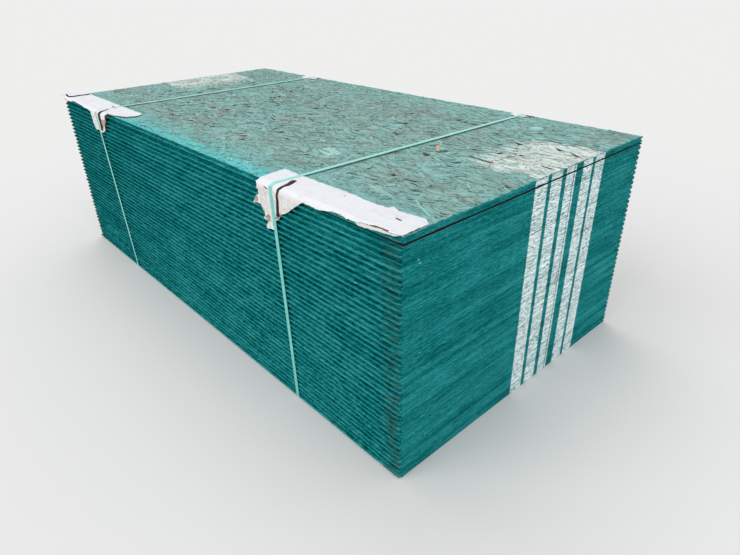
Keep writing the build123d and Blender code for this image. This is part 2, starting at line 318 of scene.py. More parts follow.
def strand_layer(name, strands, materials, stations, seed):
    """Many wood strands as closed slabs, four points to a ring.

    strands holds their centre x and y, turn, length, width, height, curl and tone.
    A point is centre + turned (u * length, v * width), with ends cut askew, a slow bow
    sideways, and a height over the sheet of height + curl * (share past the middle)^2.
    Flat strands reach down into the sheet; a curled strand keeps its own thickness.
    """
    strands = np.broadcast_arrays(*[np.atleast_1d(s) for s in strands])
    centre_x, centre_y, turn, length, width, height, curl, tone = [s[:, None, None] for s in strands]
    count = len(turn)
    rng = np.random.default_rng(seed)

    def draw(low, high):
        """A random value for each strand."""
        return rng.uniform(low, high, count)[:, None, None]

    u = np.linspace(-0.5, 0.5, stations)[:, None]
    v = np.array([-0.5, 0.5, 0.5, -0.5])
    skew = draw(-0.9, 0.9) * (u + 0.5) + draw(-0.9, 0.9) * (0.5 - u)
    taper = 1 - draw(0.0, 0.55) * np.clip(np.abs(u) * 2, 0, 1) ** 3
    bow = draw(-0.035, 0.035) * length
    along = u * length + v * skew * width
    side = v * width * taper + bow * (u * u * 4 - 0.5)
    c, s = np.cos(turn), np.sin(turn)
    x = np.clip(centre_x + along * c - side * s, RIM_INSET - HALF_LENGTH, HALF_LENGTH - RIM_INSET)
    y = np.clip(centre_y + along * s + side * c, RIM_INSET - HALF_WIDTH, HALF_WIDTH - RIM_INSET)
    floor = TOP_BASE + SHEET_THICKNESS + dish(x, y) + top_relief(x, y)
    tilt = draw(-0.5, 0.5) * np.minimum(height, 0.8) * v * 2
    past = np.clip((u + 0.15) / 0.65, 0, 1) ** 2
    cup = draw(0.0, 1.0) * curl * 0.25
    top = floor + height + tilt + curl * past + cup * np.abs(v) * 2 * (u + 0.5)
    under = np.where(curl > 0, top - CURLED_THICKNESS, floor - FLAT_ROOT)
    z = np.where([False, False, True, True], under, top)
    offset = draw(0, 40)
    uv = np.broadcast_arrays(along * MM + offset, v * width * MM + offset * 0.37)
    uv = np.stack(uv, -1).reshape(-1, 2)
    values = {"tone": tone, "chance": draw(0, 1)}
    values = {key: np.broadcast_to(value, x.shape).ravel() for key, value in values.items()}

    ring = 4 * np.arange(count * stations).reshape(count, stations, 1)
    near, far = ring[:, :-1], ring[:, 1:]
    j = np.arange(4)
    k = (j + 1) % 4
    quads = np.stack([far + j, far + k, near + k, near + j], -1).reshape(-1, 4)
    faces = np.concatenate([quads, ring[:, 0] + j, ring[:, -1] + j[[0, 3, 2, 1]]])
    kinds = np.concatenate([np.tile([0, 1, 1, 1], count * (stations - 1)), np.ones(2 * count, int)])
    points = np.stack([x + end_jog(TOP_LAYER), y + side_jog(TOP_LAYER), z], -1).reshape(-1, 3)
    piece = make_piece(name, points, faces.tolist(), materials, kinds, uv, values)
    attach(piece, "root")


# Torn paper edge boards

def inside_outline(x, s, outline):
    """Which points lie inside a closed outline, by counting the edges crossed on the way out."""
    a = outline
    b = np.roll(outline, -1, 0)
    px = np.ravel(x)[:, None]
    ps = np.ravel(s)[:, None]
    spans = (a[:, 1] > ps) != (b[:, 1] > ps)
    rise = np.where(b[:, 1] == a[:, 1], 1e-9, b[:, 1] - a[:, 1])
    crossing = a[:, 0] + (ps - a[:, 1]) * (b[:, 0] - a[:, 0]) / rise
    return (np.sum(spans & (px < crossing), 1) % 2 == 1).reshape(np.shape(x))


def nearest_on_outlines(x, s, outlines):
    """Nearest point of any closed outline to each point, by projection on every edge."""
    a = np.concatenate(outlines)
    d = np.concatenate([np.roll(o, -1, 0) for o in outlines]) - a
    p = np.stack([x, s], -1)[:, None, :]
    t = np.clip(((p - a) * d).sum(-1) / np.maximum((d * d).sum(-1), 1e-9), 0, 1)
    q = a + t[..., None] * d
    best = ((q - p) ** 2).sum(-1).argmin(1)
    return q[np.arange(len(x)), best].T


def ragged(outline, size, seed, stride=3.0, grow=0.0):
    """The outline cut into short steps, each moved square to its edge by rough noise."""
    a = np.array(outline, float)
    if np.sum(a[:, 0] * np.roll(a[:, 1], -1) - np.roll(a[:, 0], -1) * a[:, 1]) < 0:
        a = a[::-1]
    pieces = []
    travelled = 0.0
    for start, end in zip(a, np.roll(a, -1, 0)):
        length = float(np.hypot(*(end - start)))
        parts = max(1, int(length / stride))
        t = np.arange(parts)[:, None] / parts
        normal = np.array([end[1] - start[1], start[0] - end[0]]) / max(length, 1e-9)
        shift = grow + size * rough_noise((travelled + t * length) / 14, 0.5 * seed, seed)
        pieces.append(start + t * (end - start) + shift * normal)
        travelled += length
    return np.concatenate(pieces)


def smooth_path(points, window=4.0, stride=0.25):
    """Points every quarter millimetre along a polyline, averaged over a short window.

    Returns the length along it, its y and z, and its unit direction.
    """
    points = np.array(points, float)
    knots = np.concatenate([[0], np.cumsum(np.hypot(*np.diff(points, axis=0).T))])
    s = np.arange(0, knots[-1], stride)
    width = int(window / stride) | 1
    smoothed = []
    for corners in points.T:
        line = np.pad(np.interp(s, knots, corners), width // 2, mode="reflect", reflect_type="odd")
        smoothed.append(np.convolve(line, np.ones(width) / width, mode="valid"))
    ty, tz = [np.gradient(v) for v in smoothed]
    size = np.hypot(ty, tz)
    return s, *smoothed, ty / size, tz / size


def front_fold():
    """Path of a board's inner face: in over the top, over the arris, the tongue, and down."""
    reach = max(HALF_WIDTH + TONGUE_REACH - side_jog(n) for n in range(SHEET_COUNT))
    arris = -HALF_WIDTH + side_jog(TOP_LAYER)
    hub_y = -reach + NOSE_RADIUS
    hub_z = RIM_TOP - MID + NOSE_UP
    dy, dz = hub_y - arris, hub_z - RIM_TOP
    lean = math.atan2(dz, dy) - math.acos(-NOSE_RADIUS / math.hypot(dy, dz))
    inner = [(arris + FRONT_PATH_IN, RIM_TOP), (arris, RIM_TOP)]
    for a in np.linspace(lean, math.copysign(math.pi, lean), 6):
        inner.append((hub_y + NOSE_RADIUS * math.cos(a), hub_z + NOSE_RADIUS * math.sin(a)))
    inner.append((-reach, RIM_TOP - FRONT_PATH_DOWN))
    s, y, z, ty, tz = smooth_path(inner)
    return FRONT_PATH_IN - s, y, z, tz, -ty


def back_fold():
    """Path of a back board's inner face: in over the top, over the arris and down."""
    reach = max(HALF_WIDTH + side_jog(n) for n in range(SHEET_COUNT))
    inner = [(reach - BACK_PATH_IN, RIM_TOP), (reach, RIM_TOP), (reach, RIM_TOP - BACK_PATH_DOWN)]
    s, y, z, ty, tz = smooth_path(inner)
    return BACK_PATH_IN - s, y, z, -tz, ty


def on_fold(fold, s):
    """y, z and outward normal at s: over the top where s is above 0, below the arris under it."""
    places, *rest = [v[::-1] for v in fold]
    return [np.interp(s, places, v) for v in rest]


def drop_to_length(fold, drop):
    """Length below the arris at which the fold has come down by drop."""
    places, _, z = fold[:3]
    down = places <= 0
    return -np.interp(drop, RIM_TOP - z[down], -places[down])


def ply(outline, holes, out, thickness, fold, front, rise, cell):
    """One sheet of paper cut to a torn outline, as a closed slab on a grid of x and s.

    Cells whose middle is inside the outline are kept, and their border points are pulled
    to it. A point is the fold at s, moved out along its normal by out + rise(x, s).
    """
    low, high = outline.min(0) - cell, outline.max(0) + 2 * cell
    gx, gs = np.meshgrid(*[np.arange(low[n], high[n], cell) for n in (0, 1)], indexing="ij")
    mx, ms = gx[:-1, :-1] + cell / 2, gs[:-1, :-1] + cell / 2
    kept = inside_outline(mx, ms, outline)
    for hole in holes:
        kept &= ~inside_outline(mx, ms, hole)
    padded = np.pad(kept, 1)
    corners = np.stack([padded[1:, 1:], padded[:-1, 1:], padded[1:, :-1], padded[:-1, :-1]])
    used = corners.any(0)
    border = used & ~corners.all(0)
    gx[border], gs[border] = nearest_on_outlines(gx[border], gs[border], [outline, *holes])
    gx, gs = gx[used], gs[used]
    y, z, ny, nz = on_fold(fold, gs)
    points = []
    for side in (0.5, -0.5):
        height = out + rise(gx, gs) + side * thickness
        points.append(np.stack([gx, y + ny * height, z + nz * height], -1))

    # cells that have a wall, its kind (0 face, 1 torn edge, 2 back), and its corners: steps in x and s,
    # and 1 on the back
    walls = [
        (kept, 0, (0, 0, 0), (1, 0, 0), (1, 1, 0), (0, 1, 0)),
        (kept, 2, (0, 1, 1), (1, 1, 1), (1, 0, 1), (0, 0, 1)),
        (kept & ~padded[:-2, 1:-1], 1, (0, 0, 0), (0, 1, 0), (0, 1, 1), (0, 0, 1)),
        (kept & ~padded[2:, 1:-1], 1, (1, 1, 0), (1, 0, 0), (1, 0, 1), (1, 1, 1)),
        (kept & ~padded[1:-1, :-2], 1, (1, 0, 0), (0, 0, 0), (0, 0, 1), (1, 0, 1)),
        (kept & ~padded[1:-1, 2:], 1, (0, 1, 0), (1, 1, 0), (1, 1, 1), (0, 1, 1)),
    ]
    number = np.full(used.shape, -1)
    number[used] = np.arange(len(gx))
    faces = []
    kinds = []
    for cells, kind, *wall in walls:
        i, j = np.nonzero(cells)
        faces.append(np.stack([number[i + di, j + dj] + back * len(gx) for di, dj, back in wall], -1))
        kinds.append(np.full(len(i), kind))
    faces = np.concatenate(faces)
    if not front:
        faces = faces[:, ::-1]
    uv = np.stack([gx, gs], -1) * MM
    return np.concatenate(points), faces, np.concatenate(kinds), np.concatenate([uv, uv])


def make_board(name, strap_x, outline, bare, gaps=(), skirt=None, front=True, shade=(), fold=None, seed=1):
    """An edge board of three papers over a dark rim painted as the shadow under its edge: a white face, a
    brown core and a pale back.

    The face is missing inside the bare patches, where the core shows, and inside the gaps, whose dark floors
    are painted shade. The back reaches lower where skirt says so, and shade holds dark patches of paper
    behind the board, painted as its shadow. fold is (outline, lift, cover) for an end that is folded back
    over itself: lift is the height of the board's end and cover that of the fold, each along X from the
    strap; the fold's edges and back, and the patch under it, are painted shade.
    """
    path = front_fold() if front else back_fold()

    def place(points):
        """A torn outline from heights to lengths along the path."""
        p = np.array(points, float)
        p[:, 0] += strap_x
        below = p[:, 1] < 0
        p[below, 1] = drop_to_length(path, -p[below, 1])
        return p

    def lifted(x):
        """Height of the curled end."""
        return 0.0 if fold is None else np.interp(x - strap_x, *np.array(fold[1]).T)

    def crumple(x, s):
        """Buckles of the white face: held down at the strap, largest beside it and below the arris."""
        near_strap = np.exp(-((x - strap_x) / STRAP_GRIP) ** 2)
        hanging = np.clip(-s / HANGING_FROM, 0, 1)
        beside = np.clip((strap_x - x) / BUCKLE_START, 0, 1)
        beside = beside * np.exp(-((x - strap_x) / BUCKLE_REACH) ** 2)
        buckle = 0.26 * noise(x / 24, s / 17, seed + 3) + 0.2 * noise(x / 10, s / 9, seed + 4)
        buckle = buckle * (1 + 1.8 * hanging + 2.6 * beside) + 0.1 + 0.25 * beside
        return np.clip(buckle, -0.6, 1.3) * (1 - near_strap) - 0.1 * near_strap + lifted(x)

    def calm(x, s):
        """Gentler buckles of the papers under the face."""
        return 0.4 * (crumple(x, s) - lifted(x)) + lifted(x)

    def covering(x, s):
        """Height of the folded end over the board."""
        return np.interp(x - strap_x, *np.array(fold[2]).T) + 0.25 * noise(x / 30, s / 24, seed + 6)

    edge = place(outline)
    holes = [ragged(place(h), 1.2, seed + 20 + n, 2.5) for n, h in enumerate(bare)]
    holes += [ragged(place(h), 0.5, seed + 50 + n, 2.5) for n, h in enumerate(gaps)]

    # each ply: border, holes, height of its middle, thickness, buckles, and papers of face, edge and back
    plies = [
        (ragged(edge, 3.2, seed + 1), holes, 2.05, 0.5, crumple, (0, 0, 1)),
        (ragged(edge, 2.2, seed + 2, grow=-0.8), [], 1.25, 0.6, calm, (1, 1, 1)),
        (ragged(place(skirt or outline), 1.5, seed + 5, grow=0.2), [], 0.5, 0.5, calm, (2, 1, 3)),
        # a dark rim just outside the board's edge: painted shadow under the edge
        (ragged(edge, 1.3, seed + 7, grow=1.6), [], 0.12, 0.24, calm, (3, 3, 3)),
    ]
    # dark floors in the gaps and dark patches of paper beside the board: painted shade
    for n, gap in enumerate(gaps):
        plies.append((ragged(place(gap), 0.5, seed + 60 + n, 2.5, grow=1.0), [], 1.72, 0.2, calm, (3, 3, 3)))
    for n, scrap in enumerate(shade):
        plies.append((ragged(place(scrap), 1.5, seed + 65 + n), [], 0.3, 0.3, calm, (3, 3, 3)))
    # the fold's torn edges and back, and a dark patch under the fold: painted shade
    if fold is not None:
        under = place(fold[0])
        plies.append((ragged(under, 1.2, seed + 70), [], -0.3, 0.5, covering, (0, 3, 3)))
        plies.append((ragged(under, 1.2, seed + 71, grow=2.0), [], 2.5, 0.2, calm, (3, 3, 3)))
    parts = []
    count = 0
    for border, inside, out, thickness, rise, papers in plies:
        points, faces, kinds, uv = ply(border, inside, out, thickness, path, front, rise, BOARD_CELL)
        parts.append((points, faces + count, np.array(papers)[kinds], uv))
        count += len(points)
    points, faces, kinds, uv = [np.concatenate(part) for part in zip(*parts)]
    piece = make_piece(name.replace("edge_board", "torn_board"), points, faces.tolist(), PAPERS, kinds, uv)
    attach(piece, "root")
    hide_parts(name)


# Shader helpers

class Value:
    """An output socket of a shader node. Sums, products and the like of values are Math nodes."""

    def __init__(self, socket):
        self.socket = socket
        self.tree = socket.id_data

    def __add__(self, other):
        return calc("ADD", self, other)

    def __sub__(self, other):
        return calc("SUBTRACT", self, other)

    def __rsub__(self, other):
        return calc("SUBTRACT", other, self)

    def __mul__(self, other):
        return calc("MULTIPLY", self, other)

    def __truediv__(self, other):
        return calc("DIVIDE", self, other)

    def __abs__(self):
        return calc("ABSOLUTE", self)


def set_inputs(node, inputs):
    """Links values to a node's inputs, and sets the inputs given as numbers."""
    for key, value in inputs.items():
        if isinstance(value, Value):
            value.tree.links.new(value.socket, node.inputs[key])
        else:
            node.inputs[key].default_value = value


def add_node(tree, kind, inputs=None, output=0, **settings):
    """One output of a new node with its settings and inputs."""
    made = tree.nodes.new(kind)
    for key, value in settings.items():
        setattr(made, key, value)
    set_inputs(made, inputs or {})
    return Value(made.outputs[output])


def calc(operation, *terms, clamp=False):
    """One Math node over values and numbers."""
    tree = next(term.tree for term in terms if isinstance(term, Value))
    return add_node(tree, "ShaderNodeMath", dict(enumerate(terms)), operation=operation, use_clamp=clamp)


def blend(share, a, b):
    """Colour a, and b where share is 1."""
    a, b = [(*c, 1) if isinstance(c, tuple) else c for c in (a, b)]
    return add_node(share.tree, "ShaderNodeMix", {0: share, 6: a, 7: b}, 2, data_type="RGBA")


def smooth_step(value, low, high):
    """0 below low, 1 above high, smooth between. With low above high it falls instead."""
    limits = {"Value": value, "From Min": low, "From Max": high}
    return add_node(value.tree, "ShaderNodeMapRange", limits, interpolation_type="SMOOTHSTEP")


def moved(vector, **inputs):
    """A vector turned, stretched and shifted."""
    return add_node(vector.tree, "ShaderNodeMapping", {"Vector": vector, **inputs})


def grain(vector, scale, detail=2.0, roughness=0.5, seed=0.0):
    """Noise stretched by a scale for each axis."""
    place = moved(vector, Scale=scale, Location=(seed, seed * 0.7, seed * 1.3))
    inputs = {"Vector": place, "Scale": 1.0, "Detail": detail, "Roughness": roughness}
    return add_node(vector.tree, "ShaderNodeTexNoise", inputs)


def shades(value, stops):
    """Colour ramp from (place, colour) pairs."""
    made = add_node(value.tree, "ShaderNodeValToRGB", {0: value})
    ramp = made.socket.node.color_ramp
    while len(ramp.elements) > 1:
        ramp.elements.remove(ramp.elements[-1])
    ramp.elements[0].position = stops[0][0]
    ramp.elements[0].color = (*stops[0][1], 1)
    for place, colour in stops[1:]:
        ramp.elements.new(place).color = (*colour, 1)
    return made


def split(vector):
    """x, y and z of a vector."""
    made = add_node(vector.tree, "ShaderNodeSeparateXYZ", {0: vector})
    return [Value(socket) for socket in made.socket.node.outputs]


def bump(height, strength, distance):
    """Relief from a height between 0 and 1, distance metres deep."""
    inputs = {"Height": height, "Strength": strength, "Distance": distance}
    return add_node(height.tree, "ShaderNodeBump", inputs)


def start_group(name, inputs, outputs):
    """A shader node group with a vector input, its named numbers in and out, and its output node."""
    tree = bpy.data.node_groups.new(name, "ShaderNodeTree")
    tree.interface.new_socket(name="Vector", in_out="INPUT", socket_type="NodeSocketVector")
    for label, default in inputs.items():
        socket = tree.interface.new_socket(name=label, in_out="INPUT", socket_type="NodeSocketFloat")
        socket.default_value = default
    for label in outputs:
        tree.interface.new_socket(name=label, in_out="OUTPUT", socket_type="NodeSocketFloat")
    given = {s.name: Value(s) for s in tree.nodes.new("NodeGroupInput").outputs if s.name}
    return tree, given, tree.nodes.new("NodeGroupOutput")


def use_group(group, vector, **numbers):
    """Outputs of a group placed in a material. Numbers are named as its inputs, with _ for a space."""
    made = vector.tree.nodes.new("ShaderNodeGroup")
    made.node_tree = group
    set_inputs(made, {"Vector": vector, **{key.replace("_", " "): n for key, n in numbers.items()}})
    return [Value(socket) for socket in made.outputs]


def start_material(name, roughness, specular):
    """A material and its shader, with nothing linked yet."""
    material = bpy.data.materials.new(name)
    material.use_nodes = True
    shader = material.node_tree.nodes["Principled BSDF"]
    shader.inputs["Roughness"].default_value = roughness
    shader.inputs["Specular IOR Level"].default_value = specular
    return material, shader


# Effects that several materials use

def stack_place(material):
    """Object coordinates as millimetres in the stack's own frame."""
    place = add_node(material.node_tree, "ShaderNodeTexCoord", output="Object")
    return moved(place, Location=tuple(-ORIGIN / MM), Scale=(1 / MM, 1 / MM, 1 / MM))


def along_strand(material):
    """The piece's own UV map, along and across its grain."""
    return add_node(material.node_tree, "ShaderNodeUVMap", uv_map="along_grain")


def spray_patch_group():
    """White overspray: full at the Full X end, none at the Clear X end, between Low Y and High Y.

    The paint catches on strands, so its edge is broken up by streaks along X.
    """
    numbers = {"Clear X": 0.0, "Full X": 1.0, "Low Y": 0.0, "High Y": 1.0, "Cover": 1.0}
    tree, given, put = start_group("spray patch", numbers, ["Mask"])
    mm = given["Vector"]
    x, y = split(mm)[:2]
    y = y + (grain(mm, (0.012, 0.02, 0.02), 2) * 90.0 - 45.0)
    limits = {"Value": x, "From Min": given["Clear X"], "From Max": given["Full X"]}
    along = add_node(tree, "ShaderNodeMapRange", limits)
    rise = smooth_step(y - given["Low Y"], -30.0, 45.0)
    fall = smooth_step(given["High Y"] - y, -30.0, 45.0)
    streaks = grain(mm, (0.012, 0.09, 0.09), 4, 0.62)
    level = rise * fall * along * 1.3 + streaks * -1.7
    set_inputs(put, {"Mask": smooth_step(level, -0.22, 0.30) * given["Cover"]})
    return tree


def edge_spray_group():
    """Overspray of the edge sealer on a face: 1 at the outline, 0 inside. Band is its width."""
    tree, given, put = start_group("edge spray", {"Front Band": 60.0, "Other Band": 20.0}, ["Mask"])
    x, y = split(given["Vector"])[:2]
    ragged_edge = grain(given["Vector"], (0.014, 0.03, 0.03), 3, 0.6) * 0.9 + 0.5
    front = (y + HALF_WIDTH) / (given["Front Band"] * ragged_edge)
    back, ends = [
        inside / (given["Other Band"] * ragged_edge) for inside in (HALF_WIDTH - y, HALF_LENGTH - abs(x))
    ]
    nearest = calc("MINIMUM", front, calc("MINIMUM", back, ends))
    set_inputs(put, {"Mask": 1.0 - smooth_step(nearest, 0.45, 1.25)})
    return tree


def strand_grain_group():
    """Wood grain along U of a strand: fine lines, and broader darker bands."""
    tree, given, put = start_group("strand grain", {}, ["Lines", "Bands"])
    set_inputs(put, {
        "Lines": grain(given["Vector"], (18.0, 700.0, 1.0), 3, 0.6),
        "Bands": grain(given["Vector"], (9.0, 120.0, 1.0), 2, 0.5),
    })
    return tree


SPRAY_PATCH = spray_patch_group()
EDGE_SPRAY = edge_spray_group()
STRAND_GRAIN = strand_grain_group()

# White stripes across both ends, (from, to) along Y, and the span of Y that their ramp covers
STRIPES = [(-65, -2), (18, 78), (102, 145), (149, 158), (200, 258), (275, 335)]
RAMP_LOW = -100.0
RAMP_SPAN = 500.0
STRIPE_BLUR = 0.3

# Small chips that show pale wood: (place, radius)
CHIPS = [
    ((1054.0, -613.0, 594.5), 9.0),
    ((1219.0, -550.0, 705.0), 3.0),
    ((1219.0, -545.0, 694.0), 3.0),
    ((1219.0, -556.0, 146.0), 2.5),
    ((1219.0, -536.0, 422.0), 2.0),
]

# Painted shade of the gap under the top sheet's rim, and the spans of X where that painted shade starts on
# the front and where sealer ends
GAP_DARK = (0.02, 0.015, 0.013)
GAP_SHADE_START = (980.0, 1190.0)
BAND_END = (1080.0, 1190.0)


def stripe_mask(mm):
    """1 on the stripes, by a ramp over Y whose edges wander by a few millimetres."""
    wobble = grain(mm, (0.0, 0.15, 0.35), 2) * 5.0 - 2.5
    stops = [(0.0, (0, 0, 0))]
    for low, high in STRIPES:
        places = (low - STRIPE_BLUR, low + STRIPE_BLUR, high - STRIPE_BLUR, high + STRIPE_BLUR)
        for place, level in zip(places, (0, 1, 1, 0)):
            stops.append(((place - RAMP_LOW) / RAMP_SPAN, (level,) * 3))
    return shades((split(mm)[1] + wobble - RAMP_LOW) / RAMP_SPAN, stops)


def chipped_spot(mm, place, size):
    """1 within size of a place, fading out over a third of it."""
    away = add_node(mm.tree, "ShaderNodeVectorMath", {0: mm, 1: place}, "Value", operation="DISTANCE")
    return 1.0 - smooth_step(away, 0.67 * size, size)


def gap_shade(mm):
    """1 in the dark line between the top sheet's lifted rim and the sheet below it, where the gap's shade is
    painted.
    """
    wander = grain(mm, (0.016, 0.016, 0.1), 3, 0.6, 21.0)
    away = abs(split(mm)[2] - (TOP_BASE + 0.45 * RIM_LIFT)) - (wander * 9.0 - 1.6)
    return calc("MULTIPLY", 1.0 - smooth_step(away, -0.9, 1.0), wander * 0.5 + 0.6, clamp=True)


def sheet_joints(z):
    """1 in the joint between two sheets, and 1 on the lips beside it, by the height within a sheet."""
    off_middle = abs(calc("FRACT", z / SHEET_THICKNESS) - 0.5)
    joint = smooth_step(off_middle, 0.43, 0.485)
    return joint, calc("SUBTRACT", smooth_step(off_middle, 0.33, 0.38), joint, clamp=True)


def sealed_edge_material():
    """Green edge sealer over sawn strand ends: streaks along the sheet, worn tongues, white stripes."""
    material, shader = start_material("sealed_edge", 0.8, 0.01)
    mm = stack_place(material)
    x, y, z = split(mm)
    streak = grain(mm, (0.016, 0.016, 0.34), 4, 0.68)
    fine = grain(mm, (0.055, 0.055, 0.55), 3, 0.7, 3.0)
    blotch = grain(mm, (0.005, 0.005, 0.013), 2, 0.5, 7.0)
    speck = grain(mm, (0.07, 0.07, 0.26), 3, 0.75, 31.0)
    layer = calc("FLOOR", z / SHEET_THICKNESS)
    sheet = add_node(mm.tree, "ShaderNodeTexWhiteNoise", {"W": layer}, noise_dimensions="1D")
    end = smooth_step(abs(x), HALF_LENGTH - 5.0, HALF_LENGTH - 2.0)
    distant = smooth_step(x * -1.0, -100.0, 1000.0)
    tongue = smooth_step(-HALF_WIDTH - 4.0 - y, 0.0, 5.0)

    # across the ends the joints run as long dark lines, and the saw has left long pale scratches
    joint, lip = sheet_joints(z)
    wander = grain(mm, (0.008, 0.008, 0.09), 3, 0.7, 37.0)
    joint = joint * end * smooth_step(wander, 0.30, 0.55)
    scratch = grain(mm, (0.006, 0.006, 0.45), 3, 0.8, 17.0)
    on_end = scratch * 1.3 - 0.65 + (lip * 0.26 - 0.02) + (sheet * 0.14 - 0.07) + joint * -0.55

    # the tongues' noses are painted lighter than the roots between them: partly more sealer, partly painted
    # light
    tone = (streak - 0.5) * (end * 0.3 + 1.3) + (fine * 2.3 - 1.15) + (blotch * 0.7 - 0.35)
    tone = tone + (sheet * 0.16 + 0.42) + on_end * end + (speck - 0.5) + distant * -0.17
    tone = tone + (tongue * 0.28 - 0.085) + end * 0.09
    colour = shades(tone, [
        (0.0, (0.0002, 0.070, 0.073)),
        (0.25, (0.001, 0.125, 0.130)),
        (0.5, (0.005, 0.185, 0.190)),
        (0.75, (0.014, 0.250, 0.255)),
        (1.0, (0.040, 0.34, 0.34)),
    ])
    pits = smooth_step(fine, 0.60, 0.70) * smooth_step(blotch, 0.40, 0.60)
    colour = blend(pits * 0.5, colour, (0.025, 0.06, 0.05))

    # wood rubbed bare and dirty where the tongues end, most of all beside the near corner
    corner = smooth_step(abs(x), HALF_LENGTH - 150.0, HALF_LENGTH - 5.0)
    scuff = grain(mm, (0.03, 0.2, 0.25), 4, 0.65, 11.0)
    worn = smooth_step(corner * 0.26 + (scuff - 0.70), -0.04, 0.10) * (tongue * 0.85 + 0.03)
    wood = blend(smooth_step(streak, 0.35, 0.65), (0.014, 0.040, 0.030), (0.085, 0.125, 0.095))
    colour = blend(worn * 0.75, colour, wood)
    for place, size in CHIPS:
        colour = blend(chipped_spot(mm, place, size) * 0.8, colour, (0.33, 0.56, 0.54))

    # the stripes miss the holes, flecks and joints of the sawn ends
    holes = smooth_step(fine * 0.8 + streak * 0.6, 0.52, 0.66)
    fleck = smooth_step(grain(mm, (0.045, 0.045, 0.22), 3, 0.75, 29.0), 0.40, 0.47)
    chalk = stripe_mask(mm) * end * holes * (fleck * 0.78 + 0.22) * (joint * -0.55 + 1.0)
    white = shades(tone, [
        (0.0, (0.22, 0.36, 0.37)),
        (0.4, (0.72, 0.85, 0.86)),
        (0.7, (0.86, 0.96, 0.97)),
        (1.0, (0.92, 1.0, 1.0)),
    ])
    colour = blend(chalk, colour, white)
    # the gap under the top sheet's rim is painted dark brown as its shade, on both ends and on the front near
    # the corner
    beside_gap = calc("MAXIMUM", end, smooth_step(x, *GAP_SHADE_START) * 0.5)
    set_inputs(shader, {
        "Base Color": blend(gap_shade(mm) * beside_gap, colour, (0.048, 0.026, 0.020)),
        "Roughness": chalk * 0.15 + 0.7,
        "Normal": bump(streak * 0.7 + fine * 0.6, 0.7, 0.001),
    })
    return material


def strand_pattern(mm, turn, size, seed):
    """Strand-shaped cells: Voronoi cells stretched along a turned axis.

    Returns two random values for each cell, and the distance to its border.
    """
    place = moved(mm, Rotation=(0, 0, turn))
    place = moved(place, Scale=(1 / size[0], 1 / size[1], 0.0), Location=(seed, seed, 0))
    inputs = {"Vector": place, "Scale": 1.0, "Randomness": 1.0}
    cells, borders = [
        add_node(mm.tree, "ShaderNodeTexVoronoi", inputs, output, voronoi_dimensions="2D", feature=feature)
        for feature, output in (("F1", "Color"), ("DISTANCE_TO_EDGE", "Distance"))
    ]
    return *split(cells)[:2], borders


def raw_face_material():
    """Unsealed faces of the lower sheets: bare strands, with sealer sprayed over their borders."""
    material, shader = start_material("raw_strand_face", 0.75, 0.2)
    mm = stack_place(material)
    x, y, z = split(mm)
    one, pick, edge = strand_pattern(mm, 0.12, (80.0, 16.0), 2.0)
    two, _, other_edge = strand_pattern(mm, -0.45, (60.0, 12.0), 9.0)
    use_two = calc("GREATER_THAN", pick, 0.55)
    tone = one * (1.0 - use_two) + two * use_two
    lines = grain(mm, (0.02, 0.9, 0.9), 3, 0.6)
    colour = shades(tone, [
        (0.0, (0.30, 0.17, 0.075)),
        (0.3, (0.44, 0.27, 0.13)),
        (0.7, (0.56, 0.38, 0.20)),
        (1.0, (0.66, 0.48, 0.28)),
    ])
    colour = blend(lines * 0.45, colour, (0.26, 0.15, 0.07))
    gap = 1.0 - smooth_step(calc("MINIMUM", edge, other_edge), 0.0, 0.05)
    colour = blend(gap * 0.5, colour, (0.10, 0.06, 0.03))
    spray = use_group(EDGE_SPRAY, mm, Front_Band=45.0, Other_Band=30.0)[0]
    colour = blend(spray * 0.85, colour, (0.03, 0.30, 0.30))
    at_end = smooth_step(abs(x), HALF_LENGTH - 9.0, HALF_LENGTH - 4.0)
    at_side = smooth_step(abs(y), HALF_WIDTH - 9.0, HALF_WIDTH - 5.0)
    colour = blend(calc("MAXIMUM", at_end, at_side), colour, (0.003, 0.12, 0.125))
    # the face under the top sheet's lifted rim is painted dark as the shade of that gap
    in_gap = smooth_step(z, TOP_BASE - 1.5, TOP_BASE - 0.7)
    set_inputs(shader, {
        "Base Color": blend(in_gap * 0.9, colour, GAP_DARK),
        "Normal": bump(tone * 0.6 + lines * 0.4, 0.5, 0.0006),
    })
    return material


